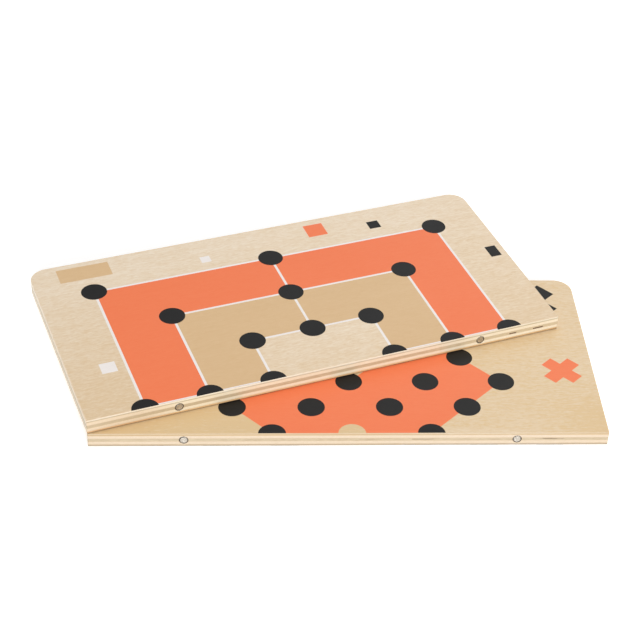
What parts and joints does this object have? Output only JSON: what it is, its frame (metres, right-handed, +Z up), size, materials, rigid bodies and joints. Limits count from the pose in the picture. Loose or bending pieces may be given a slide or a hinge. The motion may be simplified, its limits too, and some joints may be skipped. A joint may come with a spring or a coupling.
{
  "type": "board game set",
  "caption": "Two flat plywood half boards with magnets in one edge, printed for mill on one face and peg solitaire on the other, lying stacked with the upper one turned a little.",
  "frame": {"origin": "on the table, under the middle of the lower board's footprint, in the plane that the underside's black printed places stand on", "axes": "+X along the lower board's joint edge (to its right end), +Y from the joint edge to the back, +Z up, through the thickness"},
  "size_m": [0.3453, 0.2355, 0.0192],
  "materials": {
    "face_wood": "pale birch veneer under satin lacquer",
    "crossband_wood": "pale birch, sanded edge under lacquer",
    "core_wood": "end grain birch, sanded edge under lacquer",
    "magnet": "dull nickel plate",
    "magnet_glue": "hard amber glue",
    "white_print": "satin screen ink",
    "orange_print": "satin screen ink",
    "tan_print": "satin screen ink",
    "black_print": "satin screen ink"
  },
  "bodies": {
    "lower_board": {"lower_bottom_face_veneer": "face_wood", "lower_bottom_crossband": "crossband_wood", "lower_core": "core_wood", "lower_top_crossband": "crossband_wood", "lower_top_face_veneer": "face_wood", "lower_left_magnet": "magnet", "lower_right_magnet": "magnet", "lower_magnet_glue": "magnet_glue", "lower_mill_white_print": "white_print", "lower_mill_orange_print": "orange_print", "lower_mill_tan_print": "tan_print", "lower_mill_black_print": "black_print", "lower_solitaire_orange_print": "orange_print", "lower_solitaire_black_print": "black_print"},
    "upper_board": {"upper_bottom_face_veneer": "face_wood", "upper_bottom_crossband": "crossband_wood", "upper_core": "core_wood", "upper_top_crossband": "crossband_wood", "upper_top_face_veneer": "face_wood", "upper_left_magnet": "magnet", "upper_right_magnet": "magnet", "upper_magnet_glue": "magnet_glue", "upper_mill_white_print": "white_print", "upper_mill_orange_print": "orange_print", "upper_mill_tan_print": "tan_print", "upper_mill_black_print": "black_print", "upper_solitaire_orange_print": "orange_print", "upper_solitaire_black_print": "black_print"}
  },
  "joints": [
    {"name": "upper_board_lift", "type": "slide", "parent": "lower_board", "child": "upper_board", "axis": [0, 0, 1], "range_m": [0, 0.12]}
  ]
}
